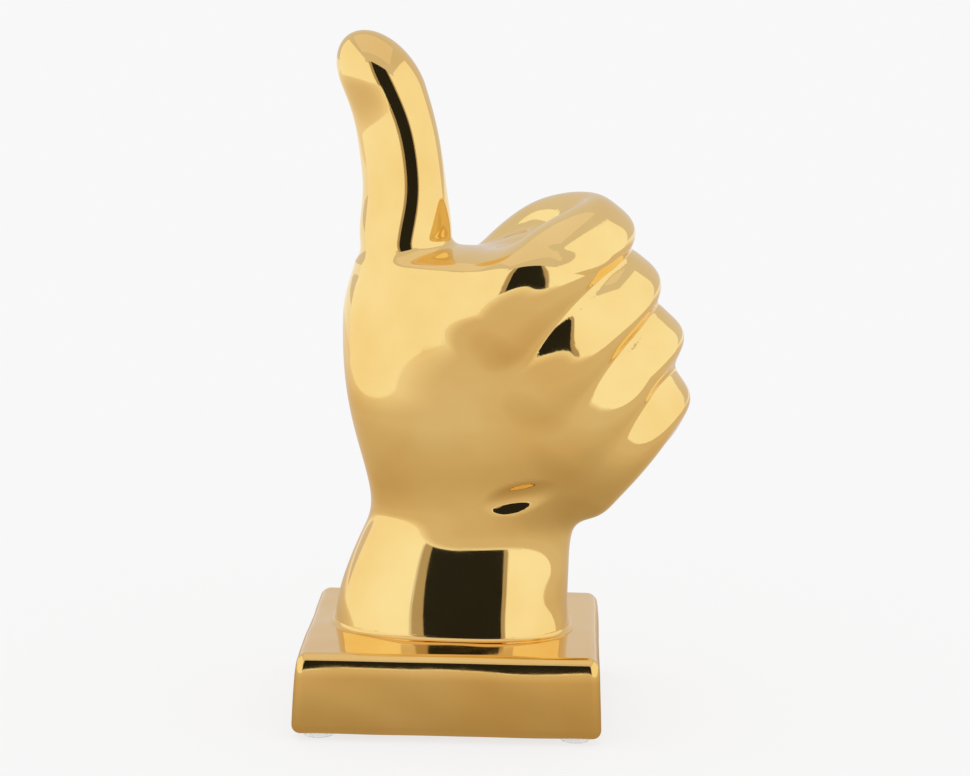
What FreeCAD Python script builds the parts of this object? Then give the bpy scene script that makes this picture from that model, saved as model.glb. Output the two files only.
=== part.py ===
import FreeCAD, Part
import math
import os

# A hollow ceramic hand with its thumb up, standing on a hollow square plinth
# with four clear bumpers under it. Millimetres, +Z up. The origin is on the
# table under the centre of the plinth. The back of the hand faces -Y, the
# fingers reach out to +X and curl round to the palm on +Y, and the thumb
# stands up on the -X side.

# Bumpers: clear round pads stuck under the corners of the plinth
bumper_diameter = 9.0
bumper_height = 1.5
bumper_edge_radius = 0.5
bumper_inset = 7.8

# Plinth: a hollow square casting, a little wider at its foot
plinth_width = 87.0
plinth_flare = 1.1
plinth_height = 23.7
plinth_corner_radius = 3.0
plinth_edge_radius = 2.2
plinth_wall = 5.0
pour_hole_diameter = 30.0

# Slip: the layer of liquid clay that joins the hand's foot to the plinth
slip_thickness = 1.2
slip_bead = 1.0

# Hand: one hollow casting of this wall
hand_wall = 4.5

# Wrist: an oval column that flares to its foot and narrows under the heel
wrist_height = 33.0
wrist_width = 62.0
wrist_depth = 44.0

# Palm: from the heel up to the notch beside the thumb
palm_height = 78.0
palm_width = 89.0
palm_depth = 48.0

# Thumb: a tapered column that leans out to -X and ends in a round tip
thumb_length = 62.6
thumb_width = 25.0
thumb_depth = 24.0
thumb_tip_height = 16.0
thumb_offset = 15.5
thumb_lean = 12.5
thumb_setback = 2.5

# Fingers: tapered tubes that point up and out, then curl back to the palm
finger_angle = 52.0
finger_reach = 90.0
finger_pitch = 17.0
finger_curl_depth = 24.0
finger_root_length = 16.0
index_radius = 10.6
middle_radius = 10.2
ring_radius = 9.7
little_radius = 8.9

# Fullness: the core that the fingers close round, and the mound at the thumb's root
core_radius = 17.0
mound_radius = 17.0

# How far a cut runs past the face that it opens
overrun = 2.0

# Points on each level outline of the hand, and rings on each finger's round end
outline_points = 24
ring_shares = (0.0, 0.3, 0.55, 0.78, 0.93)

# Level outlines of the wrist: height, then left, right, front and back reach as
# shares of the wrist's sizes, how square the oval is (2 is an ellipse), and how
# far its right side swings forward
wrist_shares = (
    (0.00, -0.573, 0.556, -0.557, 0.614, 2.6, 0.00),
    (0.20, -0.556, 0.548, -0.527, 0.591, 2.6, 0.00),
    (0.47, -0.513, 0.550, -0.491, 0.557, 2.6, 0.00),
    (0.78, -0.445, 0.562, -0.464, 0.523, 2.5, 0.00),
)

# Level outlines of the palm in the same order, as shares of the palm's sizes. The
# high ones swing forward to the index finger's knuckle.
palm_shares = (
    (-0.03, -0.288, 0.412, -0.421, 0.471, 2.4, 0.00),
    (0.03, -0.281, 0.458, -0.423, 0.471, 2.4, 0.00),
    (0.12, -0.292, 0.555, -0.433, 0.483, 2.5, 0.00),
    (0.24, -0.321, 0.635, -0.462, 0.510, 2.6, 0.00),
    (0.37, -0.351, 0.652, -0.484, 0.521, 2.6, 0.00),
    (0.51, -0.371, 0.600, -0.494, 0.521, 2.5, 0.02),
    (0.66, -0.375, 0.506, -0.496, 0.500, 2.4, 0.07),
    (0.80, -0.366, 0.393, -0.492, 0.458, 2.3, 0.13),
    (0.92, -0.351, 0.230, -0.420, 0.396, 2.3, 0.16),
    (0.99, -0.340, 0.060, -0.300, 0.358, 2.2, 0.10),
)

# Level ovals of the thumb below its round tip: height, lean, width and depth
thumb_shares = (
    (0.07, 0.00, 1.096, 1.130),
    (0.23, 0.02, 1.024, 1.067),
    (0.44, 0.14, 0.992, 1.000),
    (0.63, 0.35, 0.984, 0.958),
)
tip_lean_shares = (0.55, 1.0)

# Each finger's knuckle, middle joint, last joint and tip: distance out from the
# wrist as a share of the reach, place across the knuckles as a share of the
# pitch, depth as a share of the curl's depth, and radius as a share
finger_shares = {
    "index": (
        (0.80, -1.57, -0.54, 1.03),
        (1.00, -1.28, 0.10, 1.00),
        (0.875, -1.70, 0.92, 0.91),
        (0.63, -2.04, 1.00, 0.81),
    ),
    "middle": (
        (0.72, -0.49, -0.60, 1.05),
        (0.925, -0.16, 0.14, 1.00),
        (0.815, -0.39, 1.00, 0.92),
        (0.595, -0.51, 1.08, 0.80),
    ),
    "ring": (
        (0.605, 0.55, -0.42, 1.05),
        (0.84, 0.77, 0.17, 1.00),
        (0.715, 0.66, 0.96, 0.93),
        (0.515, 0.55, 1.04, 0.82),
    ),
    "little": (
        (0.54, 1.43, -0.30, 1.06),
        (0.705, 1.58, 0.17, 1.02),
        (0.615, 1.49, 0.83, 0.95),
        (0.45, 1.37, 0.92, 0.86),
    ),
}
finger_radii = {
    "index": index_radius,
    "middle": middle_radius,
    "ring": ring_radius,
    "little": little_radius,
}

# The core from the index finger to the little one, in the fingers' measures
core_shares = (
    (0.75, -1.40, 0.34, 0.86),
    (0.76, -0.30, 0.26, 1.00),
    (0.60, 1.25, 0.42, 0.92),
)

# The mound on the palm side: height, place across the palm, depth and radius
mound_shares = (
    (0.12, -0.03, 0.17, 0.80),
    (0.42, -0.11, 0.28, 1.00),
    (0.74, -0.17, 0.19, 0.85),
)

# Heights that the pieces share
plinth_bottom = bumper_height
plinth_top = plinth_bottom + plinth_height
foot_level = plinth_top + slip_thickness
heel_level = foot_level + wrist_height
notch_level = heel_level + palm_height
tip_level = notch_level + thumb_length


def signed_power(value, power):
    return math.copysign(abs(value) ** power, value)


def oval_wire(level, left, right, front, back, squareness, swing, inset):
    """A closed level outline between four reaches, swung and drawn in by the inset."""
    middle_x = (left + right) / 2
    middle_y = (front + back) / 2
    half_x = (right - left) / 2 - inset
    half_y = (back - front) / 2 - inset
    power = 2 / squareness
    points = []
    for number in range(outline_points):
        turn = 2 * math.pi * number / outline_points
        x = middle_x + half_x * signed_power(math.cos(turn), power)
        y = middle_y + half_y * signed_power(math.sin(turn), power) - swing * (x - middle_x)
        points.append(FreeCAD.Vector(x, y, level))
    steps = [number / outline_points for number in range(outline_points + 1)]
    curve = Part.BSplineCurve()
    curve.interpolate(Points=points, PeriodicFlag=True, Parameters=steps)
    return Part.Wire([curve.toShape()])


def smooth_solid(wires):
    return Part.makeLoft(wires, True, False)


def wrist_levels(inset):
    """The wrist's outlines. Inside, they rise by the wall towards the heel."""
    rows = []
    for height, left, right, front, back, squareness, swing in wrist_shares:
        level = foot_level + wrist_height * height + inset * height
        rows.append((level, wrist_width * left, wrist_width * right,
                     wrist_depth * front, wrist_depth * back, squareness, swing))
    return rows


def palm_levels(inset):
    """The palm's outlines. Inside, the low ones rise and the high ones drop by the wall."""
    rows = []
    for height, left, right, front, back, squareness, swing in palm_shares:
        level = heel_level + palm_height * height + inset * (1 - 2 * height)
        rows.append((level, palm_width * left, palm_width * right,
                     palm_depth * front, palm_depth * back, squareness, swing))
    return rows


def thumb_oval(level, lean, width, depth):
    middle_x = -thumb_offset - thumb_lean * lean
    return (level, middle_x - width / 2, middle_x + width / 2,
            thumb_setback - depth / 2, thumb_setback + depth / 2, 2.0, 0.0)


def thumb_levels(inset):
    """The thumb's column, which ends at its round tip, lowered by the wall inside."""
    rows = []
    for height, lean, width, depth in thumb_shares:
        level = notch_level + thumb_length * height - inset
        rows.append(thumb_oval(level, lean, thumb_width * width, thumb_depth * depth))
    return rows


def tip_levels(inset):
    """Rings of the thumb's round tip, each drawn in with its height as a dome is."""
    start_lean, end_lean = tip_lean_shares
    height = thumb_tip_height
    width = thumb_width - 2 * inset
    depth = thumb_depth * thumb_shares[-1][3] - 2 * inset
    rows = []
    for share in ring_shares:
        rise = math.sin(share * math.pi / 2)
        narrowing = math.cos(share * math.pi / 2)
        level = tip_level - thumb_tip_height - inset + height * rise
        lean = start_lean + (end_lean - start_lean) * rise
        rows.append(thumb_oval(level, lean, width * narrowing, depth * narrowing))
    return rows


def palm_and_thumb(inset):
    """Wrist, palm and thumb as one smooth body, drawn in by the inset."""
    rows = wrist_levels(inset) + palm_levels(inset) + thumb_levels(inset)
    wires = [oval_wire(*row, inset) for row in rows]
    wires += [oval_wire(*row, 0) for row in tip_levels(inset)]
    if inset:
        level, *reaches = rows[0]
        wires.insert(0, oval_wire(level - overrun, *reaches, inset))
    return smooth_solid(wires)


def hand_point(out, across, depth):
    """A point by its distance out from the wrist along the fingers and across the knuckles."""
    angle = math.radians(finger_angle)
    x = out * math.cos(angle) + across * math.sin(angle)
    z = heel_level + out * math.sin(angle) - across * math.cos(angle)
    return FreeCAD.Vector(x, depth, z)


def across_the_knuckles():
    return hand_point(0, 1, 0) - hand_point(0, 0, 0)


def finger_stations(name):
    """Centre points and radii along a finger, from its root inside the palm to its tip."""
    radius = finger_radii[name]
    stations = []
    for out, across, depth, size in finger_shares[name]:
        centre = hand_point(finger_reach * out, finger_pitch * across, finger_curl_depth * depth)
        stations.append((centre, radius * size))
    knuckle_out, knuckle_across, knuckle_depth, knuckle_size = finger_shares[name][0]
    root = hand_point(finger_reach * knuckle_out - finger_root_length,
                      finger_pitch * knuckle_across,
                      finger_curl_depth * knuckle_depth)
    stations.insert(0, (root, radius * knuckle_size))
    return stations


def ring_wire(centre, direction, radius, seam):
    """A circle square to the direction, which starts on the seam's side."""
    circle = Part.Circle(centre, direction, radius)
    circle.XAxis = seam - direction * seam.dot(direction)
    return Part.Wire([circle.toShape()])


def tube_solid(stations, seam):
    """A round tube through centre points with their radii, with a round end at both ends."""
    path = Part.BSplineCurve()
    path.interpolate([centre for centre, radius in stations])
    places = [path.parameter(centre) for centre, radius in stations]
    first_centre, first_radius = stations[0]
    last_centre, last_radius = stations[-1]
    back_way = path.tangent(places[0])[0] * -1
    end_way = path.tangent(places[-1])[0]
    wires = []
    for share in reversed(ring_shares[1:]):
        reach = first_radius * math.sin(share * math.pi / 2)
        size = first_radius * math.cos(share * math.pi / 2)
        wires.append(ring_wire(first_centre + back_way * reach, back_way * -1, size, seam))
    for number in range(len(stations) - 1):
        for share in (0.0, 0.5):
            place = places[number] + (places[number + 1] - places[number]) * share
            radius = stations[number][1] + (stations[number + 1][1] - stations[number][1]) * share
            wires.append(ring_wire(path.value(place), path.tangent(place)[0], radius, seam))
    for share in ring_shares:
        reach = last_radius * math.sin(share * math.pi / 2)
        size = last_radius * math.cos(share * math.pi / 2)
        wires.append(ring_wire(last_centre + end_way * reach, end_way, size, seam))
    return smooth_solid(wires)


def finger(name):
    return tube_solid(finger_stations(name), across_the_knuckles())


def finger_hollow(name):
    """The hollow in a finger, from the palm's hollow out to the middle joint."""
    stations = [(centre, radius - hand_wall) for centre, radius in finger_stations(name)[:3]]
    return tube_solid(stations, across_the_knuckles())


def fist_core():
    """The fullness inside the fist, between the fingers and their curled ends."""
    stations = []
    for out, across, depth, size in core_shares:
        centre = hand_point(finger_reach * out, finger_pitch * across, finger_curl_depth * depth)
        stations.append((centre, core_radius * size))
    return tube_solid(stations, FreeCAD.Vector(0, 1, 0))


def thumb_mound():
    """The soft mound at the thumb's root, on the palm side."""
    stations = []
    for height, across, depth, size in mound_shares:
        centre = FreeCAD.Vector(palm_width * across, palm_depth * depth,
                                heel_level + palm_height * height)
        stations.append((centre, mound_radius * size))
    return tube_solid(stations, FreeCAD.Vector(0, 1, 0))


def hand_casting():
    """The hollow hand, open at its foot."""
    outside = palm_and_thumb(0)
    outside = outside.fuse([finger(name) for name in finger_shares] + [fist_core(), thumb_mound()])
    hollow = palm_and_thumb(hand_wall)
    hollow = hollow.fuse([finger_hollow(name) for name in finger_shares])
    return outside.cut(hollow)


def slip_joint():
    """The layer under the hand's foot, squeezed out into a bead all round."""
    level, *reaches = wrist_levels(0)[0]
    bead_middle = (plinth_top + foot_level) / 2
    outside = smooth_solid([
        oval_wire(plinth_top, *reaches, -slip_bead / 2),
        oval_wire(bead_middle, *reaches, -slip_bead),
        oval_wire(foot_level, *reaches, -slip_bead / 2),
    ])
    inside = smooth_solid([
        oval_wire(plinth_top, *reaches, hand_wall),
        oval_wire(foot_level, *reaches, hand_wall),
    ])
    return outside.cut(inside)


def rounded_square_wire(half_width, corner_radius, level):
    """A level square outline with round corners."""
    square = Part.makeBox(2 * half_width, 2 * half_width, overrun,
                          FreeCAD.Vector(-half_width, -half_width, level))
    uprights = [edge for edge in square.Edges if abs(edge.tangentAt(edge.FirstParameter).z) > 0.9]
    rounded = square.makeFillet(corner_radius, uprights)
    floor = min(rounded.Faces, key=lambda face: face.CenterOfMass.z)
    return floor.OuterWire


def plinth_block(inset):
    """The plinth's tapered block, drawn in by the inset on every side."""
    foot = rounded_square_wire(plinth_width / 2 + plinth_flare - inset, plinth_corner_radius,
                               plinth_bottom + inset)
    top = rounded_square_wire(plinth_width / 2 - inset, plinth_corner_radius,
                              plinth_top - inset)
    return Part.makeLoft([foot, top], True, True)


def plinth_casting():
    """The hollow plinth, with a pour hole in its floor and one under the hand."""
    block = plinth_block(0)
    rims = []
    for edge in block.Edges:
        levels = [vertex.Z for vertex in edge.Vertexes]
        if max(levels) - min(levels) < plinth_edge_radius:
            rims.append(edge)
    block = block.makeFillet(plinth_edge_radius, rims)
    pour_hole = Part.makeCylinder(pour_hole_diameter / 2, plinth_height + 2 * overrun,
                                  FreeCAD.Vector(0, 0, plinth_bottom - overrun))
    return block.cut(plinth_block(plinth_wall).fuse(pour_hole))


def bumper(side_x, side_y):
    """A clear pad under one corner, its lower edge rounded."""
    place = plinth_width / 2 + plinth_flare - bumper_inset
    pad = Part.makeCylinder(bumper_diameter / 2, bumper_height,
                            FreeCAD.Vector(side_x * place, side_y * place, 0))
    lower_edge = min(pad.Edges, key=lambda edge: edge.BoundBox.ZMax)
    return pad.makeFillet(bumper_edge_radius, [lower_edge])


def build():
    pieces = {
        "hand_casting": hand_casting(),
        "slip_joint": slip_joint(),
        "plinth_casting": plinth_casting(),
    }
    for end_name, side_y in (("front", -1), ("back", 1)):
        for side_name, side_x in (("left", -1), ("right", 1)):
            pieces["bumper_" + end_name + "_" + side_name] = bumper(side_x, side_y)
    os.makedirs("parts", exist_ok=True)
    for name, shape in pieces.items():
        shape.exportStep("parts/" + name + ".step")
        box = shape.BoundBox
        print(name, len(shape.Solids), "solid, valid", shape.isValid(),
              "volume %.1f cm3" % (shape.Volume / 1000),
              "x %.1f..%.1f y %.1f..%.1f z %.1f..%.1f" % (
                  box.XMin, box.XMax, box.YMin, box.YMax, box.ZMin, box.ZMax))


build()
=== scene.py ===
# %% [markdown]
# # A gold hand with its thumb up
#
# The real object is a hollow ceramic hand that stands on a hollow square plinth. One bright gold
# glaze covers both, a bead of slip joins them, and four clear pads keep the plinth off the table.
# A mirror mostly shows what is round it, so two things make the likeness here: how the hand swells
# from place to place, and the plain studio that it mirrors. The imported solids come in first, as a
# frame that never moves, and every piece below is fitted to it.

# %% Load the frame
import math
import bpy
import numpy as np
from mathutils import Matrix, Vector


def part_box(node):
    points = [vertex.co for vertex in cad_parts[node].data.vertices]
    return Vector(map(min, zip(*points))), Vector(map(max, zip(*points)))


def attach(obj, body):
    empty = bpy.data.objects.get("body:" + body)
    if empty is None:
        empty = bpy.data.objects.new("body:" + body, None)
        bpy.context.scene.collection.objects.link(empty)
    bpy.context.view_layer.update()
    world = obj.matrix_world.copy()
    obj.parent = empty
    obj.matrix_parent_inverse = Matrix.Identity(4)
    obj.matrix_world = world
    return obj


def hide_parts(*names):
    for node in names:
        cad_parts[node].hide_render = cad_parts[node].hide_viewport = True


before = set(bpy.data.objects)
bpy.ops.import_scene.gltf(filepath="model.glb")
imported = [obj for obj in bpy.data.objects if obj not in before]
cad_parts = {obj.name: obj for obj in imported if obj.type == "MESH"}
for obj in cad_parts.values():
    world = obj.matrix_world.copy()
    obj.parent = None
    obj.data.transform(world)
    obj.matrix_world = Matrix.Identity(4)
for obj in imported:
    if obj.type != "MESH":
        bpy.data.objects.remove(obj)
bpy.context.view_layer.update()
print("pieces in the frame:", sorted(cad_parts))

# %% [markdown]
# ## Sizes
#
# Blender works in metres, so every length is written in millimetres and multiplied by `mm`. The
# plinth's place and outer sizes are read from the frame. The hand is a soft form, so the sizes and
# shares that drive it are written out here, in the order in which a modeller would block it in.

# %% Sizes of the plinth
mm = 0.001
plinth_low, plinth_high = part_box("plinth_casting")
plinth_foot, plinth_top = plinth_low.z, plinth_high.z
plinth_half_foot = plinth_high.x
plinth_flare = 1.1 * mm
plinth_half_top = plinth_half_foot - plinth_flare
plinth_edge = 2.6 * mm
plinth_wall = 5.0 * mm
pour_hole_radius = 15.0 * mm
foot_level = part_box("hand_casting")[0].z
print("plinth from", round(plinth_foot / mm, 1), "to", round(plinth_top / mm, 1), "mm")

# %% Sizes of the hand
wrist_height, wrist_width, wrist_depth = 33.0 * mm, 62.0 * mm, 44.0 * mm
palm_height, palm_width, palm_depth = 78.0 * mm, 89.0 * mm, 48.0 * mm
thumb_length, thumb_width, thumb_depth = 62.6 * mm, 25.0 * mm, 24.0 * mm
thumb_tip_height, thumb_offset = 16.0 * mm, 15.5 * mm
thumb_lean, thumb_setback = 12.5 * mm, 2.5 * mm
heel_level = foot_level + wrist_height
notch_level = heel_level + palm_height
tip_level = notch_level + thumb_length
finger_angle = math.radians(52)
finger_reach, finger_pitch = 90.0 * mm, 17.0 * mm
finger_curl_depth, finger_root_length, root_sink = 24.0 * mm, 16.0 * mm, 1.5 * mm
core_radius, mound_radius = 17.0 * mm, 17.0 * mm
finger_squareness, thumb_squareness = 2.9, 2.0
print("hand from", round(foot_level / mm, 1), "to", round(tip_level / mm, 1), "mm")

# %% Shares that shape the hand
# Level outlines: height, left, right, front and back reach, squareness, forward swing
wrist_shares = (
    (0.00, -0.573, 0.556, -0.557, 0.614, 2.6, 0.060),
    (0.20, -0.556, 0.548, -0.530, 0.591, 2.6, 0.050),
    (0.47, -0.513, 0.550, -0.496, 0.557, 2.6, 0.035),
    (0.78, -0.445, 0.562, -0.461, 0.523, 2.5, 0.015),
)
palm_shares = (
    (-0.03, -0.288, 0.412, -0.421, 0.471, 2.4, 0.000),
    (0.03, -0.281, 0.458, -0.423, 0.471, 2.4, -0.010),
    (0.12, -0.292, 0.555, -0.433, 0.483, 2.5, -0.020),
    (0.24, -0.321, 0.635, -0.462, 0.510, 2.6, -0.010),
    (0.37, -0.351, 0.652, -0.484, 0.521, 2.6, 0.005),
    (0.51, -0.371, 0.600, -0.493, 0.521, 2.5, 0.040),
    (0.66, -0.375, 0.506, -0.498, 0.500, 2.4, 0.095),
    (0.80, -0.366, 0.470, -0.495, 0.458, 2.3, 0.145),
    (0.91, -0.347, 0.430, -0.489, 0.405, 2.3, 0.180),
    (0.97, -0.334, 0.390, -0.472, 0.370, 2.4, 0.205),
    (1.02, -0.323, 0.300, -0.440, 0.345, 2.4, 0.220),
    (1.07, -0.314, 0.150, -0.385, 0.320, 2.4, 0.230),
)
# Level ovals of the thumb: height, lean, width, depth and forward swing
thumb_shares = (
    (-0.30, 0.00, 0.800, 1.450, 0.00),
    (-0.10, 0.00, 1.000, 1.430, 0.00),
    (0.07, 0.00, 1.096, 1.300, 0.07),
    (0.23, 0.02, 1.024, 1.130, 0.22),
    (0.44, 0.14, 0.992, 1.020, 0.27),
    (0.63, 0.35, 0.984, 0.958, 0.19),
    (0.744, 0.55, 1.000, 0.958, 0.11),
    (1.00, 1.00, 1.000, 0.958, 0.00),
)
# Knuckle, middle joint, last joint and tip: out, across, depth and radius
finger_shares = {
    "index": ((0.80, -1.47, -0.65, 1.04), (0.996, -1.09, 0.12, 0.97),
              (0.875, -1.70, 0.92, 0.91), (0.63, -2.04, 1.00, 0.81)),
    "middle": ((0.710, -0.24, -0.56, 1.02), (0.915, -0.16, 0.14, 1.00),
               (0.815, -0.39, 1.00, 0.92), (0.595, -0.51, 1.08, 0.80)),
    "ring": ((0.610, 0.66, -0.42, 1.04), (0.832, 0.76, 0.17, 0.99),
             (0.715, 0.66, 0.96, 0.93), (0.515, 0.55, 1.04, 0.82)),
    "little": ((0.54, 1.48, -0.30, 1.06), (0.695, 1.57, 0.17, 0.96),
               (0.615, 1.49, 0.83, 0.95), (0.45, 1.37, 0.92, 0.86)),
}
finger_radii = {"index": 10.6 * mm, "middle": 10.2 * mm, "ring": 9.7 * mm, "little": 8.9 * mm}
# From the index side to the little finger's: out, across, depth and radius
core_shares = ((0.75, -1.40, 0.34, 0.86), (0.76, -0.30, 0.26, 1.00), (0.60, 1.25, 0.42, 0.92))
# From the heel up: height, across, depth and radius
mound_shares = ((0.12, -0.03, 0.17, 0.80), (0.42, -0.11, 0.28, 1.00), (0.74, -0.17, 0.19, 0.85))
print(len(wrist_shares) + len(palm_shares), "outlines,", len(finger_shares), "fingers")

# %% [markdown]
# ## The camera
#
# It stands a little above the hand, about 0.8 m away, and looks down by nine degrees. A long lens
# keeps the plinth's sides nearly upright, as in the photograph. A shorter lens from nearer would
# show the same things, but it would spread the thumb and pinch the plinth.

# %% Camera at the photograph's viewing angle
camera_place = (32.37 * mm, -814.3 * mm, 225.4 * mm)
camera_turn = (math.radians(80.953), math.radians(-0.79), math.radians(1.806))
film_width, lens_length = 36.0, 103.92
nearest_shown, farthest_shown = 0.02, 60.0
camera = bpy.data.objects.new("camera", bpy.data.cameras.new("camera"))
bpy.context.scene.collection.objects.link(camera)
camera.location = camera_place
camera.rotation_euler = camera_turn
camera.data.sensor_width = film_width
camera.data.lens = lens_length
camera.data.clip_start, camera.data.clip_end = nearest_shown, farthest_shown
bpy.context.scene.camera = camera
print("camera", [round(v, 3) for v in camera.location])

# %% [markdown]
# ## Working with a field
#
# Soft ceramic has no edges to extrude, and a mesh that is pushed and pulled by hand keeps small
# kinks, which a mirror shows at once. The hand is described instead by a field: a function that
# says for any point how far it lies outside the skin, and is negative inside. Two fields can be
# melted into each other, as wet clay is smoothed with a thumb, and the skin is then found where the
# field is nought. Smooth curves run through the chosen shares, so no ring shows in the gold.

# %% A fair curve through a few values
def fair_curve(places, values):
    """A curve through chosen values whose slope and bend never jump."""
    places, values = np.asarray(places, float), np.asarray(values, float)
    gaps, count = np.diff(places), len(places)
    system, right = np.eye(count), np.zeros(values.shape)
    for i in range(1, count - 1):
        system[i, i - 1:i + 2] = gaps[i - 1], 2 * (gaps[i - 1] + gaps[i]), gaps[i]
        right[i] = 6 * ((values[i + 1] - values[i]) / gaps[i]
                        - (values[i] - values[i - 1]) / gaps[i - 1])
    bends = np.linalg.solve(system, right)

    def at(where):
        where = np.clip(where, places[0], places[-1])
        i = np.clip(np.searchsorted(places, where) - 1, 0, count - 2)
        shape = where.shape + (1,) * (values.ndim - 1)
        gap = gaps[i].reshape(shape)
        low = (where - places[i]).reshape(shape) / gap
        high = 1 - low
        return (high * values[i] + low * values[i + 1]
                + gap ** 2 / 6 * ((high ** 3 - high) * bends[i] + (low ** 3 - low) * bends[i + 1]))
    return at


arch = fair_curve([0, 1, 2], [0, 1, 0])
print("an arch over 0, 1, 0 is", arch(np.array([0.5]))[0], "high at a quarter of its length")

# %% Melting one form into another, or out of it
def melt(first, second, softness):
    """The union of two fields with a soft fillet in the corner between them."""
    blend = np.clip(0.5 + 0.5 * (second - first) / softness, 0, 1)
    return second + (first - second) * blend - softness * blend * (1 - blend)


def carve(body, tool, softness):
    """The body without the tool, with a soft rim."""
    return -melt(-body, tool, softness)


print("a blend of 4 mm fills a corner by", -melt(0, 0, 4), "mm")

# %% A tube along a fair curve
steps_per_stretch = 18
least_bend = 1e-12


def reach_from(centre, flat, square_way, squareness):
    """How far points lie from a centre, where a section may be squarer than a circle."""
    out = flat - centre
    far = np.linalg.norm(out, axis=-1)
    if square_way is None:
        return far
    aside = np.abs(out @ square_way)
    rest = np.sqrt(np.maximum(far ** 2 - aside ** 2, 0))
    return (aside ** squareness + rest ** squareness) ** (1 / squareness)


def tube(p, points, radii, square_way=None, squareness=2.0):
    """Distance to a tube whose centre and radius follow fair curves."""
    reach = np.concatenate([[0], np.cumsum(np.linalg.norm(np.diff(points, axis=0), axis=1))])
    places = np.linspace(0, reach[-1], steps_per_stretch * (len(points) - 1) + 1)
    centres, sizes = fair_curve(reach, points)(places), fair_curve(reach, radii)(places)
    flat = p.reshape(-1, 3)
    gaps = np.stack([reach_from(centre, flat, square_way, squareness) - size
                     for centre, size in zip(centres, sizes)])
    near = np.clip(gaps.argmin(0), 1, len(places) - 2)
    each = np.arange(len(flat))
    before, here, after = gaps[near - 1, each], gaps[near, each], gaps[near + 1, each]
    bend = np.maximum(before - 2 * here + after, least_bend)
    step = np.clip((before - after) / (2 * bend), -1, 1)
    return (here + step * (after - before) / 2 + step ** 2 * bend / 2).reshape(p.shape[:-1])


print("tubes are followed in", steps_per_stretch, "steps from joint to joint")

# %% [markdown]
# ## The hand's form
#
# Wrist, palm and thumb are columns of level ovals that change smoothly with height. Four fingers
# are tapered tubes that run up and out, then curl back to the palm. A fat core fills the fist, and a
# mound swells the thumb's root on the palm side. Each is melted into its neighbours by as much as
# the real casting shows: tightly between the fingers, softly where they leave the palm. The same
# few shares move a whole form, which sculpting by hand wouldn't allow.

# %% Outlines of wrist, palm and thumb
def palm_rows():
    """Outlines of the wrist and palm from the foot up, as real sizes."""
    rows = []
    for low, height, width, depth, shares in (
            (foot_level, wrist_height, wrist_width, wrist_depth, wrist_shares),
            (heel_level, palm_height, palm_width, palm_depth, palm_shares)):
        for share, left, right, front, back, squareness, swing in shares:
            rows.append((low + height * share, width * left, width * right,
                         depth * front, depth * back, squareness, swing))
    return np.array(rows)


def thumb_rows():
    """Ovals of the thumb from inside the palm up to its tip."""
    rows = []
    for share, lean, width, depth, swing in thumb_shares:
        middle = -thumb_offset - thumb_lean * lean
        half_width, half_depth = thumb_width * width / 2, thumb_depth * depth / 2
        rows.append((notch_level + thumb_length * share, middle - half_width, middle + half_width,
                     thumb_setback - half_depth, thumb_setback + half_depth,
                     thumb_squareness, swing))
    return np.array(rows)


palm_table, thumb_table = palm_rows(), thumb_rows()
palm_outline_at = fair_curve(palm_table[:, 0], palm_table[:, 1:])
thumb_outline_at = fair_curve(thumb_table[:, 0], thumb_table[:, 1:])
print("palm up to", round(palm_table[-1, 0] / mm, 1), "mm, where the thumb is",
      round((thumb_table[-1, 0] - palm_table[-1, 0]) / mm, 1), "mm higher")

# %% Wrist, palm and thumb
thumb_root_level = 112.0 * mm
palm_top, palm_dome = 138.2 * mm, 6.0 * mm
least_level = 1e-6


def level_form(p, outline_at, top, dome_height):
    """A column of level ovals that ends at its top in a dome."""
    left, right, front, back, square, swing = np.moveaxis(outline_at(p[..., 2]), -1, 0)
    half_x, half_y = (right - left) / 2, (back - front) / 2
    out_x = p[..., 0] - (left + right) / 2
    x = np.abs(out_x) / half_x
    y = np.abs(p[..., 1] + swing * out_x - (front + back) / 2) / half_y
    level = np.maximum((x ** square + y ** square) ** (1 / square), least_level)
    dome = np.clip((p[..., 2] - top + dome_height) / dome_height, 0, None)
    size = np.hypot(level, dome)
    slope = np.hypot((x / level) ** (square - 1) / half_x, (y / level) ** (square - 1) / half_y)
    slope = np.hypot(slope * level / size, dome / size / dome_height)
    return (size - 1) / np.maximum(slope, 1 / np.maximum(half_x, half_y))


def palm(p):
    """Wrist and palm in one column."""
    return level_form(p, palm_outline_at, palm_top, palm_dome)


def thumb(p):
    """The thumb, cut off flat deep inside the palm."""
    column = level_form(p, thumb_outline_at, tip_level, thumb_tip_height)
    return np.maximum(column, thumb_root_level - p[..., 2])


middle_level = (heel_level + notch_level) / 2
left, right, front, back = palm_outline_at(np.array([middle_level]))[0, :4]
print("half way up, the palm is", round((right - left) / mm, 1), "mm wide and",
      round((back - front) / mm, 1), "mm deep")

# %% Fingers, core and mound
def hand_point(out, across, depth):
    """A point by its distance out along the fingers and across the knuckles."""
    cosine, sine = math.cos(finger_angle), math.sin(finger_angle)
    return np.array([out * cosine + across * sine, depth,
                     heel_level + out * sine - across * cosine])


def stations(shares, radius, root_length=0.0):
    """Centres and radii along a finger or the core."""
    points, radii = [], [radius * row[3] for row in shares]
    for out, across, depth, _ in shares:
        points.append(hand_point(finger_reach * out, finger_pitch * across,
                                 finger_curl_depth * depth))
    if root_length:
        out, across, depth, _ = shares[0]
        points.insert(0, hand_point(finger_reach * out - root_length, finger_pitch * across,
                                    finger_curl_depth * depth + root_sink))
        radii.insert(0, radii[0])
    return np.array(points), np.array(radii)


def finger(p, name):
    """One curled finger, a little square across the knuckles."""
    across = hand_point(0, 1, 0) - hand_point(0, 0, 0)
    return tube(p, *stations(finger_shares[name], finger_radii[name], finger_root_length),
                across, finger_squareness)


def fist_core(p):
    """The fat core that the fingers curl round."""
    return tube(p, *stations(core_shares, core_radius))


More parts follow.
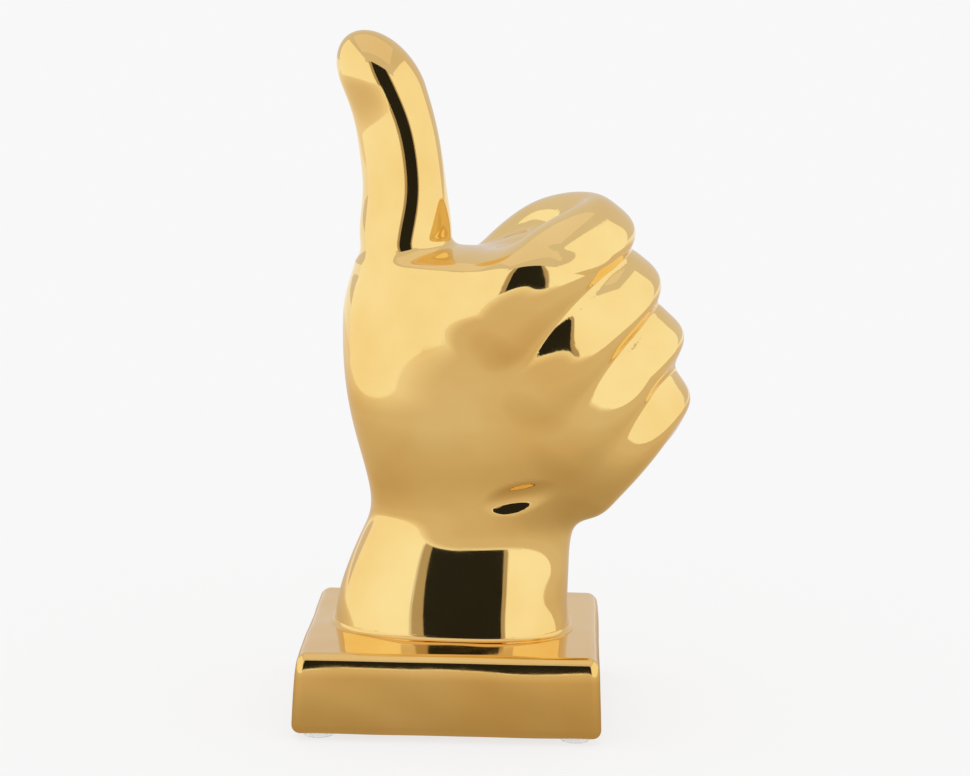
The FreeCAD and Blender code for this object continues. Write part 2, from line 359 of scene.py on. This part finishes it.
def thumb_mound(p):
    """The swell at the thumb's root, on the palm side."""
    points = [(palm_width * across, palm_depth * depth, heel_level + palm_height * height)
              for height, across, depth, _ in mound_shares]
    return tube(p, np.array(points), np.array([mound_radius * row[3] for row in mound_shares]))


for name in finger_shares:
    knuckle = stations(finger_shares[name], finger_radii[name])[0][0]
    print(name, "knuckle at", [round(float(v) / mm, 1) for v in knuckle], "mm")

# %% [markdown]
# ## Marks of the clay model
#
# A casting keeps the small dents and swells of its clay model: here a pinch under the heel, and a
# skin that is never quite even. They are small, but in a mirror each one bends a whole reflection.
# A bump in the material would only bend the light, so they are added to the field and are real.

# %% Small swells and dents
least_size = 1e-3


def lens(p, middle, half_sizes, turn):
    """A smooth lens-shaped lump, turned in the plane that faces the camera."""
    cosine, sine = math.cos(turn), math.sin(turn)
    out = p - np.array(middle)
    along = out[..., 0] * cosine + out[..., 2] * sine
    over = out[..., 2] * cosine - out[..., 0] * sine
    shares = np.stack([along, out[..., 1], over], -1) / np.array(half_sizes)
    size = np.maximum(np.linalg.norm(shares, axis=-1), least_size)
    slope = np.linalg.norm(shares / np.array(half_sizes), axis=-1) / size
    return (size - 1) / np.maximum(slope, 1 / max(half_sizes))


uneven_height = 0.09 * mm
uneven_lengths = (15.0 * mm, 21.0 * mm, 30.0 * mm, 41.0 * mm)
waves_per_length = 2
latest_start = 6.3


def unevenness(p, seed):
    """A few long, low waves that cross each other, each starting anywhere in its first turn."""
    draw = np.random.default_rng(seed)
    total = 0
    for length in uneven_lengths * waves_per_length:
        way = draw.normal(size=3)
        way /= np.linalg.norm(way)
        turn = 2 * math.pi * (p @ way) / length + draw.uniform(0, latest_start)
        total = total + length * np.sin(turn)
    return uneven_height * total / (len(uneven_lengths) * max(uneven_lengths))


print("waves of", [round(v / mm) for v in uneven_lengths], "mm in the skin")

# %% The whole hand
between_fingers = 2.0 * mm
onto_core = 6.0 * mm
onto_mound = 10.0 * mm
onto_palm = 8.0 * mm
thumb_crease = 3.5 * mm
foot_sink = 1.0 * mm
hand_seed = 4
glaze_inset = 0.12 * mm
dent_rim = 1.0 * mm
dent_middle = (22.5 * mm, -23.2 * mm, 66.5 * mm)
dent_half_sizes = (15.0 * mm, 4.3 * mm, 5.5 * mm)
dent_turn = 0.18


def hand_form(p):
    """The field of the glazed hand, cut level just under the plinth's top."""
    fingers = None
    for name in finger_shares:
        one = finger(p, name)
        fingers = one if fingers is None else melt(fingers, one, between_fingers)
    fingers = melt(fingers, fist_core(p), onto_core)
    whole = melt(melt(palm(p), thumb_mound(p), onto_mound), fingers, onto_palm)
    whole = melt(whole, thumb(p), thumb_crease)
    whole = carve(whole, lens(p, dent_middle, dent_half_sizes, dent_turn), dent_rim)
    whole = whole + unevenness(p, hand_seed) + glaze_inset
    return np.maximum(whole, plinth_top - foot_sink - p[..., 2])


probe = np.arange(-60, 90, 0.5) * mm
probe_line = np.stack([probe, 0 * probe, 0 * probe + middle_level], -1)
print("with the fingers it is", (hand_form(probe_line) < 0).sum() / 2, "mm wide there")

# %% [markdown]
# ## From a field to a mesh
#
# The field is read on a grid of small cubes. Each cube that the skin passes through gets one point,
# and neighbouring points are joined into four-sided faces, which gives an even net without poles or
# long thin faces. One subdivision makes it finer, then every point slides along the field's slope
# until it lies on the skin. The same slope gives the normals, so reflections run clean. Blender's
# own remeshing works from a mesh and not from a field, so the net is written out here.

# %% One point in each cube that the skin passes through
def net_points(grid, values, step):
    """Sums and counts of each cube's crossings, and which edges of the grid are crossed."""
    inside = values < 0
    cubes = np.array(values.shape) - 1
    total, hits = np.zeros(tuple(cubes) + (3,)), np.zeros(tuple(cubes))
    crossings = []
    for axis in range(3):
        lower, upper = [slice(None)] * 3, [slice(None)] * 3
        lower[axis], upper[axis] = slice(None, -1), slice(1, None)
        lower, upper = tuple(lower), tuple(upper)
        crossed = inside[lower] != inside[upper]
        crossings.append(crossed)
        fall = np.where(crossed, values[lower] - values[upper], 1)
        place = grid[lower].copy()
        place[..., axis] += step * np.where(crossed, values[lower] / fall, 0)
        one, two = [i for i in range(3) if i != axis]
        for shift_one in (0, 1):
            for shift_two in (0, 1):
                part = [slice(None)] * 3
                part[one] = slice(shift_one, shift_one + cubes[one])
                part[two] = slice(shift_two, shift_two + cubes[two])
                part = tuple(part)
                total += np.where(crossed[part][..., None], place[part], 0)
                hits += crossed[part]
    return total, hits, crossings


# %% A four-sided face round each crossed edge of the grid
def net_faces(inside, crossings, number):
    """Faces that join the points of the four cubes round an edge, and look outward."""
    cubes = number.shape
    faces = []
    for axis in range(3):
        one, two = (axis + 1) % 3, (axis + 2) % 3
        edges = np.argwhere(crossings[axis])
        edges = edges[(edges[:, one] > 0) & (edges[:, two] > 0)
                      & (edges[:, one] < cubes[one]) & (edges[:, two] < cubes[two])]
        back_one, back_two = np.eye(3, dtype=int)[one], np.eye(3, dtype=int)[two]
        ring = [edges - back_one - back_two, edges - back_two, edges, edges - back_one]
        quads = np.stack([number[tuple(cell.T)] for cell in ring], -1)
        leaves = inside[tuple(edges.T)]
        faces.append(np.where(leaves[:, None], quads, quads[:, ::-1]))
    return np.concatenate(faces)


def net_over(form, low, high, step):
    """Points and four-sided faces of the skin of a form inside a box."""
    counts = np.ceil((np.array(high) - np.array(low)) / step).astype(int) + 1
    axes = [low[i] + step * np.arange(counts[i]) for i in range(3)]
    grid = np.stack(np.meshgrid(*axes, indexing="ij"), -1)
    values = np.stack([form(slab) for slab in grid])
    total, hits, crossings = net_points(grid, values, step)
    number = np.full(hits.shape, -1)
    number[hits > 0] = np.arange(int((hits > 0).sum()))
    points = total[hits > 0] / hits[hits > 0][:, None]
    return points, net_faces(values < 0, crossings, number)


def trial_ball(p):
    """A ball of one unit, to try the net on."""
    return np.linalg.norm(p, axis=-1) - 1


ball_points, ball_faces = net_over(trial_ball, (-1.5,) * 3, (1.5,) * 3, 0.3)
print("a ball tried as a net has", len(ball_points), "points and", len(ball_faces), "faces")

# %% The field's slope, and points pulled onto the skin
slope_step = 0.05 * mm
least_steepness = 0.05


def slope_of(form, points):
    """The way in which a field rises fastest at each point, and how steeply."""
    pairs = [form(points + way) - form(points - way) for way in np.eye(3) * slope_step]
    return np.stack(pairs, -1) / (2 * slope_step)


def onto_skin(form, points, rounds=3):
    """Slides points along the slope until the field is nought there."""
    for _ in range(rounds):
        slope = slope_of(form, points)
        steep = np.maximum((slope ** 2).sum(-1, keepdims=True), least_steepness)
        points = points - form(points)[:, None] * slope / steep
    return points


slid_points = onto_skin(trial_ball, ball_points)
print("the ball's points lie off its skin by up to", np.abs(trial_ball(ball_points)).max().round(4),
      "and after sliding by", np.abs(trial_ball(slid_points)).max().round(4))

# %% Mesh objects
def mesh_object(name, points, faces):
    """A mesh object from points and faces."""
    mesh = bpy.data.meshes.new(name)
    mesh.from_pydata([tuple(point) for point in points], [], [list(face) for face in faces])
    piece = bpy.data.objects.new(name, mesh)
    bpy.context.scene.collection.objects.link(piece)
    return piece


def points_of(mesh):
    """A mesh's points as rows of an array."""
    flat = np.empty(len(mesh.vertices) * 3)
    mesh.vertices.foreach_get("co", flat)
    return flat.reshape(-1, 3)


def skin_object(name, form, low, high, step):
    """A fine, smooth mesh over the skin of a form."""
    points, faces = net_over(form, low, high, step)
    piece = mesh_object(name, onto_skin(form, points), faces)
    finer = piece.modifiers.new("finer", "SUBSURF")
    finer.levels = finer.render_levels = 1
    shown = piece.evaluated_get(bpy.context.evaluated_depsgraph_get())
    mesh = bpy.data.meshes.new_from_object(shown)
    piece.modifiers.clear()
    piece.data = mesh
    points = onto_skin(form, points_of(mesh))
    mesh.vertices.foreach_set("co", points.ravel())
    mesh.shade_smooth()
    slope = slope_of(form, points)
    slope /= np.linalg.norm(slope, axis=-1, keepdims=True)
    mesh.normals_split_custom_set_from_vertices([tuple(way) for way in slope])
    mesh.update()
    print(name, len(mesh.vertices), "points", len(mesh.polygons), "faces")
    return piece


# %% [markdown]
# ## Shader groups for the gold
#
# Bright gold lustre is a thin metal film over a glazed body. Three things are never quite even: the
# film's colour, which is richer where it is thicker, its polish, and the glaze under it, which has
# slow ripples. One flat gold colour would look like plastic. All gold pieces share these effects,
# so each is a node group with named inputs, built once and given other values in each material.

# %% Helpers that add a node and start a group
def add_node(tree, kind, place, **settings):
    """A shader node at a place on the node editor's sheet, with its settings."""
    node = tree.nodes.new(kind)
    node.location = place
    for name, value in settings.items():
        setattr(node, name, value)
    return node


def new_group(name, inputs, outputs):
    """A node group with named inputs and named outputs."""
    tree = bpy.data.node_groups.new(name, "ShaderNodeTree")
    for label, kind, value in inputs:
        socket = tree.interface.new_socket(label, in_out="INPUT", socket_type=kind)
        socket.default_value = value
    for label, kind in outputs:
        tree.interface.new_socket(label, in_out="OUTPUT", socket_type=kind)
    start = add_node(tree, "NodeGroupInput", (-900, 0))
    end = add_node(tree, "NodeGroupOutput", (600, 0))
    return tree, start, end


# %% A group for the film: its colour and its polish
patch_detail, patch_low, patch_high = 3.0, 0.35, 0.65
smear_scale, smear_detail, smear_low, smear_high = 140.0, 4.0, 0.35, 0.7


def film_group():
    """Mixes a thin and a thick film colour over the surface, and varies the polish."""
    tree, start, end = new_group("gold_film", (
        ("Thin Colour", "NodeSocketColor", (0.9, 0.7, 0.4, 1)),
        ("Thick Colour", "NodeSocketColor", (0.8, 0.5, 0.2, 1)),
        ("Patch Scale", "NodeSocketFloat", 30.0),
        ("Roughness Low", "NodeSocketFloat", 0.03),
        ("Roughness High", "NodeSocketFloat", 0.08),
    ), (("Colour", "NodeSocketColor"), ("Roughness", "NodeSocketFloat")))
    place = add_node(tree, "ShaderNodeTexCoord", (-900, -260))
    patches = add_node(tree, "ShaderNodeTexNoise", (-600, -100))
    patches.inputs["Detail"].default_value = patch_detail
    smears = add_node(tree, "ShaderNodeTexNoise", (-600, -360))
    smears.inputs["Scale"].default_value = smear_scale
    smears.inputs["Detail"].default_value = smear_detail
    contrast = add_node(tree, "ShaderNodeMapRange", (-350, -100))
    contrast.inputs["From Min"].default_value = patch_low
    contrast.inputs["From Max"].default_value = patch_high
    colour = add_node(tree, "ShaderNodeMix", (-100, 100), data_type="RGBA")
    polish = add_node(tree, "ShaderNodeMapRange", (-100, -240))
    polish.inputs["From Min"].default_value = smear_low
    polish.inputs["From Max"].default_value = smear_high
    join = tree.links.new
    join(place.outputs["Object"], patches.inputs["Vector"])
    join(place.outputs["Object"], smears.inputs["Vector"])
    join(start.outputs["Patch Scale"], patches.inputs["Scale"])
    join(patches.outputs["Fac"], contrast.inputs["Value"])
    join(contrast.outputs["Result"], colour.inputs["Factor"])
    join(start.outputs["Thin Colour"], colour.inputs["A"])
    join(start.outputs["Thick Colour"], colour.inputs["B"])
    join(smears.outputs["Fac"], polish.inputs["Value"])
    join(start.outputs["Roughness Low"], polish.inputs["To Min"])
    join(start.outputs["Roughness High"], polish.inputs["To Max"])
    join(colour.outputs["Result"], end.inputs["Colour"])
    join(polish.outputs["Result"], end.inputs["Roughness"])
    return tree


gold_film = film_group()
print("group", gold_film.name, "with", len(gold_film.nodes), "nodes")

# %% A group for the glaze: slow ripples and fine orange peel
ripple_detail = 1.0
peel_scale, peel_detail = 420.0, 2.0


def ripple_group():
    """Gives a normal with long soft ripples and a fine peel on top."""
    tree, start, end = new_group("glaze_ripple", (
        ("Ripple Scale", "NodeSocketFloat", 40.0),
        ("Ripple Height", "NodeSocketFloat", 0.0002),
        ("Peel Height", "NodeSocketFloat", 0.00001),
    ), (("Normal", "NodeSocketVector"),))
    place = add_node(tree, "ShaderNodeTexCoord", (-900, -260))
    ripples = add_node(tree, "ShaderNodeTexNoise", (-600, 60))
    ripples.inputs["Detail"].default_value = ripple_detail
    peel = add_node(tree, "ShaderNodeTexNoise", (-600, -240))
    peel.inputs["Scale"].default_value = peel_scale
    peel.inputs["Detail"].default_value = peel_detail
    slow = add_node(tree, "ShaderNodeMath", (-350, 60), operation="MULTIPLY")
    fine = add_node(tree, "ShaderNodeMath", (-350, -240), operation="MULTIPLY")
    both = add_node(tree, "ShaderNodeMath", (-120, -80), operation="ADD")
    bump = add_node(tree, "ShaderNodeBump", (120, -80))
    bump.inputs["Strength"].default_value = 1.0
    bump.inputs["Distance"].default_value = 1.0
    join = tree.links.new
    join(place.outputs["Object"], ripples.inputs["Vector"])
    join(place.outputs["Object"], peel.inputs["Vector"])
    join(start.outputs["Ripple Scale"], ripples.inputs["Scale"])
    join(ripples.outputs["Fac"], slow.inputs[0])
    join(start.outputs["Ripple Height"], slow.inputs[1])
    join(peel.outputs["Fac"], fine.inputs[0])
    join(start.outputs["Peel Height"], fine.inputs[1])
    join(slow.outputs["Value"], both.inputs[0])
    join(fine.outputs["Value"], both.inputs[1])
    join(both.outputs["Value"], bump.inputs["Height"])
    join(bump.outputs["Normal"], end.inputs["Normal"])
    return tree


glaze_ripple = ripple_group()
print("group", glaze_ripple.name, "with", len(glaze_ripple.nodes), "nodes")

# %% [markdown]
# ## The gold glaze
#
# The hand is the brightest and smoothest. The plinth was cast flat against plaster, so its faces
# ripple more, and the film is thicker and more orange on them. The bead at the foot is fettled by
# hand and a little duller. One function makes all three, with each piece's own values.

# %% Gold materials
def gold_glaze(name, thin, thick, ripple_scale, ripple_height, peel_height, polish):
    """Mirror gold between two film colours, with polish as its lowest and highest roughness."""
    material = bpy.data.materials.new(name)
    material.use_nodes = True
    tree = material.node_tree
    shader = tree.nodes["Principled BSDF"]
    shader.inputs["Metallic"].default_value = 1.0
    film = add_node(tree, "ShaderNodeGroup", (-400, 200), node_tree=gold_film)
    film.inputs["Thin Colour"].default_value = thin + (1,)
    film.inputs["Thick Colour"].default_value = thick + (1,)
    film.inputs["Roughness Low"].default_value = polish[0]
    film.inputs["Roughness High"].default_value = polish[1]
    glaze = add_node(tree, "ShaderNodeGroup", (-400, -200), node_tree=glaze_ripple)
    glaze.inputs["Ripple Scale"].default_value = ripple_scale
    glaze.inputs["Ripple Height"].default_value = ripple_height
    glaze.inputs["Peel Height"].default_value = peel_height
    tree.links.new(film.outputs["Colour"], shader.inputs["Base Color"])
    tree.links.new(film.outputs["Roughness"], shader.inputs["Roughness"])
    tree.links.new(glaze.outputs["Normal"], shader.inputs["Normal"])
    return material


hand_gold = gold_glaze("hand_gold", thin=(0.96, 0.73, 0.30), thick=(0.91, 0.63, 0.22),
                       ripple_scale=45.0, ripple_height=0.10 * mm, peel_height=0.002 * mm,
                       polish=(0.035, 0.07))
plinth_gold = gold_glaze("plinth_gold", thin=(0.95, 0.68, 0.26), thick=(0.90, 0.61, 0.20),
                         ripple_scale=40.0, ripple_height=0.30 * mm, peel_height=0.004 * mm,
                         polish=(0.05, 0.11))
bead_gold = gold_glaze("bead_gold", thin=(0.94, 0.67, 0.26), thick=(0.90, 0.61, 0.20),
                       ripple_scale=60.0, ripple_height=0.12 * mm, peel_height=0.004 * mm,
                       polish=(0.06, 0.12))
print("golds", hand_gold.name, plinth_gold.name, bead_gold.name)

# %% [markdown]
# ## The hand
#
# The real one is cast in one piece, so it is one skin here too. Its foot is cut level a little
# under the plinth's top, so that no gap shows behind the bead, and the net starts lower still, so
# that a flat face closes the cut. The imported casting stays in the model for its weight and
# collision, and this piece is shown in its place.

# %% Hand
hand_net_step = 1.6 * mm
hand_margin = 2 * hand_net_step
hand_low, hand_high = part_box("hand_casting")
net_low, net_high = np.array(hand_low) - hand_margin, np.array(hand_high) + hand_margin
net_low[2] = plinth_top - foot_sink - hand_margin
hand = skin_object("hand", hand_form, net_low, net_high, hand_net_step)
hand.data.materials.append(hand_gold)
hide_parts("hand_casting")
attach(hand, "root")

# %% [markdown]
# ## The plinth
#
# A hollow block with softened edges, a little wider at its foot. It has a pour hole in its floor,
# through which the slip was poured out again, and a second one under the hand. A bevelled cube
# would mirror as flat as window glass, so the plinth is a field too and gets the same uneven skin:
# a rounded box, less a smaller one inside it, less the hole.

# %% Plinth
plinth_seed = 9
plinth_unevenness = 2.4
plinth_glaze_inset = 0.15 * mm
plinth_net_step = 1.5 * mm
plinth_margin = 2 * plinth_net_step
inner_edge = 2.0 * mm
hole_rim = 1.2 * mm
shoulder_height, shoulder_fall = 7.0 * mm, 0.68 * mm


def rounded_block(p, inset, edge):
    """A square block that narrows upward, drawn in by an inset, with round edges."""
    rise = (p[..., 2] - plinth_foot) / (plinth_top - plinth_foot)
    near_top = np.clip((p[..., 2] - plinth_top) / shoulder_height + 1, 0, 1)
    half_width = plinth_half_foot - plinth_flare * rise - shoulder_fall * near_top ** 2 - inset
    middle = (plinth_foot + plinth_top) / 2
    half_height = (plinth_top - plinth_foot) / 2 - inset
    over = np.stack([np.abs(p[..., 0]) - half_width, np.abs(p[..., 1]) - half_width,
                     np.abs(p[..., 2] - middle) - half_height], -1) + edge
    return np.linalg.norm(np.maximum(over, 0), axis=-1) + np.minimum(over.max(-1), 0) - edge


def plinth_form(p):
    """The field of the glazed plinth, hollow and open through its pour holes."""
    block = rounded_block(p, plinth_glaze_inset, plinth_edge)
    block = block + plinth_unevenness * unevenness(p, plinth_seed)
    hollow = rounded_block(p, plinth_wall, inner_edge)
    hole = np.hypot(p[..., 0], p[..., 1]) - pour_hole_radius
    return carve(carve(block, hollow, inner_edge), hole, hole_rim)


plinth = skin_object("plinth", plinth_form, np.array(plinth_low) - plinth_margin,
                     np.array(plinth_high) + plinth_margin, plinth_net_step)
plinth.data.materials.append(plinth_gold)
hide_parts("plinth_casting")
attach(plinth, "root")

# %% [markdown]
# ## The bead at the foot
#
# Slip squeezes out under the wrist and is smoothed with a wet finger, which leaves a small hollow
# fillet all round. Its arc touches the wrist's wall at one end and the plinth's top at the other.
# The wrist's outline is no circle, so a turned ring wouldn't fit. The bead is found from the hand's
# own field: a ball is rolled round the foot, and the bead fills the corner that it can't reach.

# %% The way of a ball that rolls round the foot
bead_radius = 1.4 * mm
bead_turns = 256
halvings = 40


def foot_wall(p):
    """The wrist's wall without the cut at its foot."""
    return palm(p) + unevenness(p, hand_seed)


def ball_places():
    """Where a ball that rolls on the plinth and along the wrist has its centre."""
    turns = np.linspace(0, 2 * math.pi, bead_turns, endpoint=False)
    ways = np.stack([np.cos(turns), np.sin(turns), 0 * turns], -1)
    middle = np.array([0, 0, plinth_top + bead_radius])
    near, far = np.zeros(bead_turns), np.full(bead_turns, plinth_half_top)
    for _ in range(halvings):
        half = (near + far) / 2
        outside = foot_wall(middle + ways * half[:, None]) > bead_radius
        near, far = np.where(outside, near, half), np.where(outside, half, far)
    return middle + ways * near[:, None]


ball_centres = ball_places()
print("the ball rolls out to", round(float(ball_centres[:, 0].max()) / mm, 1), "mm at the right")

# %% Slip bead
bead_steps = 10
bead_sink = 0.8 * mm
sharp_angle = math.radians(40)


def slip_bead(centres):
    """A ring with a hollow arc outside and corners inside the wrist and the plinth."""
    wall_way = slope_of(foot_wall, centres)
    wall_way /= -np.linalg.norm(wall_way, axis=-1, keepdims=True)
    down = np.tile([0.0, 0.0, -1.0], (bead_turns, 1))
    between = np.arccos((wall_way * down).sum(-1, keepdims=True))
    rings = []
    for share in np.linspace(0, 1, bead_steps + 1):
        way = np.sin((1 - share) * between) * wall_way + np.sin(share * between) * down
        rings.append(centres + bead_radius * way / np.sin(between))
    rings.append(rings[bead_steps] + down * bead_sink)
    rings.append(rings[bead_steps + 1] + wall_way * (bead_radius + bead_sink) * (1, 1, 0))
    rings.append(rings[0] + wall_way * bead_sink)
    points = np.concatenate(rings)
    faces = []
    for ring in range(len(rings)):
        after = (ring + 1) % len(rings)
        for turn in range(bead_turns):
            on = (turn + 1) % bead_turns
            faces.append((ring * bead_turns + turn, after * bead_turns + turn,
                          after * bead_turns + on, ring * bead_turns + on))
    piece = mesh_object("slip_bead", points, faces)
    piece.data.shade_smooth()
    piece.data.set_sharp_from_angle(angle=sharp_angle)
    print("slip_bead", len(points), "points")
    return piece


bead = slip_bead(ball_centres)
bead.data.materials.append(bead_gold)
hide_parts("slip_joint")
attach(bead, "root")

# %% [markdown]
# ## The bumpers
#
# The pads under the corners are plain moulded clear plastic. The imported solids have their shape
# already, so nothing is modelled again: the CAD nodes stay and only get a material, which is clear
# and faintly hazy, with fine dust.

# %% Bumpers
dust_scale, dust_detail = 900.0, 4.0
clear_share, plastic_ior = 0.6, 1.46
least_haze, most_haze = 0.08, 0.35
clean_tint, dusty_tint = (0.90, 0.91, 0.92, 1), (0.78, 0.78, 0.77, 1)


def clear_plastic():
    """Clear plastic whose dust makes it hazier and greyer in places."""
    material = bpy.data.materials.new("clear_bumper")
    material.use_nodes = True
    tree = material.node_tree
    shader = tree.nodes["Principled BSDF"]
    shader.inputs["Transmission Weight"].default_value = clear_share
    shader.inputs["IOR"].default_value = plastic_ior
    place = add_node(tree, "ShaderNodeTexCoord", (-900, 0))
    dust = add_node(tree, "ShaderNodeTexNoise", (-700, 0))
    dust.inputs["Scale"].default_value = dust_scale
    dust.inputs["Detail"].default_value = dust_detail
    haze = add_node(tree, "ShaderNodeMapRange", (-450, -120))
    haze.inputs["To Min"].default_value = least_haze
    haze.inputs["To Max"].default_value = most_haze
    tint = add_node(tree, "ShaderNodeMix", (-450, 160), data_type="RGBA")
    tint.inputs["A"].default_value = clean_tint
    tint.inputs["B"].default_value = dusty_tint
    tree.links.new(place.outputs["Object"], dust.inputs["Vector"])
    tree.links.new(dust.outputs["Fac"], haze.inputs["Value"])
    tree.links.new(dust.outputs["Fac"], tint.inputs["Factor"])
    tree.links.new(haze.outputs["Result"], shader.inputs["Roughness"])
    tree.links.new(tint.outputs["Result"], shader.inputs["Base Color"])
    return material


bumper_plastic = clear_plastic()
for name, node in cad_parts.items():
    if name.startswith("bumper_"):
        node.data.materials.clear()
        node.data.materials.append(bumper_plastic)
        node.data.shade_smooth()
        node.data.set_sharp_from_angle(angle=sharp_angle)
        print(name, "is clear")

# %% [markdown]
# ## The studio
#
# The floor is plain and pale and runs on to the horizon. Round the hand stand plain white and
# dark cards, as they are set round silver to photograph it: white boxes at both sides, in front and
# above give the bright planes, and dark cards behind the camera give the edges their contrast.
# Lamps would only add small glints, so there are none. The cards show only in reflections and never
# stand in the camera's way. The table in front mirrors as a warm tan, because the gold throws its
# own light on it, and it is darker close round the plinth, in the plinth's shadow. Two discs a hair
# above the floor show that painted bounce light and painted shadow to the gold alone.

# %% Floor
floor_reach = 25.0
floor_grey, floor_light = (0.20, 0.20, 0.20, 1), 0.742


def pale_floor():
    """A floor that is mostly even light, so the shadow on it is faint."""
    material = bpy.data.materials.new("pale_floor")
    material.use_nodes = True
    shader = material.node_tree.nodes["Principled BSDF"]
    shader.inputs["Base Color"].default_value = floor_grey
    shader.inputs["Roughness"].default_value = 1.0
    shader.inputs["Specular IOR Level"].default_value = 0.0
    shader.inputs["Emission Color"].default_value = (1.0, 1.0, 1.0, 1)
    shader.inputs["Emission Strength"].default_value = floor_light
    return material


floor = mesh_object("floor", [(-floor_reach, -floor_reach, 0), (floor_reach, -floor_reach, 0),
                              (floor_reach, floor_reach, 0), (-floor_reach, floor_reach, 0)],
                    [(0, 1, 2, 3)])
floor.data.materials.append(pale_floor())
print("floor", 2 * floor_reach, "m wide")

# %% World, white to the camera and greyer in the gold
seen_air, mirrored_air = (0.99, 0.99, 0.99, 1), (0.71, 0.67, 0.70, 1)
world = bpy.data.worlds.new("studio_air")
bpy.context.scene.world = world
world.use_nodes = True
air = world.node_tree
backdrop = air.nodes["Background"]
rays = add_node(air, "ShaderNodeLightPath", (-600, 0))
shade = add_node(air, "ShaderNodeMix", (-300, 0), data_type="RGBA")
shade.inputs["A"].default_value = seen_air
shade.inputs["B"].default_value = mirrored_air
air.links.new(rays.outputs["Is Glossy Ray"], shade.inputs["Factor"])
air.links.new(shade.outputs["Result"], backdrop.inputs["Color"])
bpy.context.scene.view_settings.view_transform = "Standard"
print("world", world.name)

# %% Cards that show only in reflections
white, rosy, brown = (1.0, 1.0, 1.0), (1.0, 0.93, 0.98), (0.91, 0.74, 0.58)
# Name, middle, half across and half up in millimetres, colour and brightness
cards = (
    ("left_box", (-620, -220, 420), (-60, 680, 0), (0, 0, 420), white, 1.0),
    ("right_box", (620, -220, 420), (60, 680, 0), (0, 0, 420), white, 1.0),
    ("front_left_box", (-755, -1090, 400), (240, -60, 0), (0, 0, 400), white, 1.0),
    ("front_right_box", (690, -1100, 450), (260, 60, 0), (0, 0, 430), white, 1.0),
    ("top_box", (0, -100, 1100), (600, 0, 0), (0, 600, 0), rosy, 0.82),
    ("dark_card", (-5, -1200, 500), (355, 0, 0), (0, 0, 480), white, 0.02),
    ("half_dark_card", (-38, -1230, 500), (478, 0, 0), (0, 0, 485), brown, 0.5),
)


def emission(name, colour, strength):
    """A surface that only gives off light."""
    material = bpy.data.materials.new(name)
    material.use_nodes = True
    tree = material.node_tree
    tree.nodes.clear()
    light = add_node(tree, "ShaderNodeEmission", (0, 0))
    light.inputs["Color"].default_value = colour + (1,)
    light.inputs["Strength"].default_value = strength
    end = add_node(tree, "ShaderNodeOutputMaterial", (200, 0))
    tree.links.new(light.outputs["Emission"], end.inputs["Surface"])
    return material


def reflections_only(piece):
    """Hides a piece from everything but the gold's reflections."""
    piece.visible_camera = False
    piece.visible_diffuse = False
    piece.visible_shadow = False
    piece.visible_transmission = False


def card(name, middle, half_across, half_up, colour, level):
    """A flat card given by its middle and two half edges."""
    middle, across, up = (np.array(v) * mm for v in (middle, half_across, half_up))
    corners = [middle - across - up, middle + across - up, middle + across + up,
               middle - across + up]
    piece = mesh_object(name, corners, [(0, 1, 2, 3)])
    piece.data.materials.append(emission(name, colour, level))
    reflections_only(piece)


for row in cards:
    card(*row)
print(len(cards), "cards")

# %% Painted light and shadow of the table, seen only in the reflections
disc_sides = 96
disc_lift = 0.3 * mm
far_radius, near_radius = 1.2, 0.30
far_shift, far_narrowing = 0.15, 1.3
# Share of the radius, and the tone there
# Painted bounce light: tan where the gold throws its warm light on the table, paler further out
far_painted_light_tones = (
    (0.00, (0.68, 0.585, 0.50, 1)),
    (0.55, (0.70, 0.60, 0.515, 1)),
    (0.90, (0.88, 0.80, 0.74, 1)),
)
# Painted shadow: darkest close round the plinth, where the plinth shades the table, with the gold's
# tan bounce light over it
near_painted_shadow_tones = (
    (0.20, (0.43, 0.33, 0.22, 1)),
    (0.40, (0.53, 0.43, 0.32, 1)),
    (0.60, (0.62, 0.51, 0.40, 1)),
    (1.00, (0.69, 0.59, 0.505, 1)),
)
# Where a new stop stands until it gets its own share
place_for_now = 0.5


def paint_table_light_and_shadow(name, tones_by_share, radius, narrowing):
    """Painted bounce light and shadow: tan near the middle, paler further out, narrower across by a
    factor.
    """
    material = bpy.data.materials.new(name)
    material.use_nodes = True
    tree = material.node_tree
    tree.nodes.clear()
    place = add_node(tree, "ShaderNodeTexCoord", (-1100, 0))
    narrow = add_node(tree, "ShaderNodeVectorMath", (-900, 0), operation="MULTIPLY")
    narrow.inputs[1].default_value = (narrowing / radius, 1 / radius, 0)
    length = add_node(tree, "ShaderNodeVectorMath", (-700, 0), operation="LENGTH")
    tones = add_node(tree, "ShaderNodeValToRGB", (-500, 0))
    stops = tones.color_ramp.elements
    while len(stops) < len(tones_by_share):
        stops.new(place_for_now)
    for stop, (share, colour) in zip(stops, tones_by_share):
        stop.position, stop.color = share, colour
    light = add_node(tree, "ShaderNodeEmission", (0, 0))
    end = add_node(tree, "ShaderNodeOutputMaterial", (200, 0))
    join = tree.links.new
    join(place.outputs["Object"], narrow.inputs[0])
    join(narrow.outputs["Vector"], length.inputs[0])
    join(length.outputs["Value"], tones.inputs["Fac"])
    join(tones.outputs["Color"], light.inputs["Color"])
    join(light.outputs["Emission"], end.inputs["Surface"])
    return material


def table_disc(name, middle_x, radius, lift, tones_by_share, narrowing):
    """A glowing disc of painted table light and shadow that only the gold sees, just above the
    floor.
    """
    turns = [2 * math.pi * side / disc_sides for side in range(disc_sides)]
    rim = [(radius * math.cos(turn), radius * math.sin(turn), lift) for turn in turns]
    piece = mesh_object(name, rim, [tuple(range(disc_sides))])
    piece.location.x = middle_x
    piece.data.materials.append(paint_table_light_and_shadow(name, tones_by_share, radius, narrowing))
    reflections_only(piece)


table_disc("painted_table_light", far_shift, far_radius, disc_lift, far_painted_light_tones, far_narrowing)
table_disc("painted_shadow_by_plinth", 0, near_radius, 2 * disc_lift, near_painted_shadow_tones, 1)
print("the table's tan reaches", far_radius, "m out")
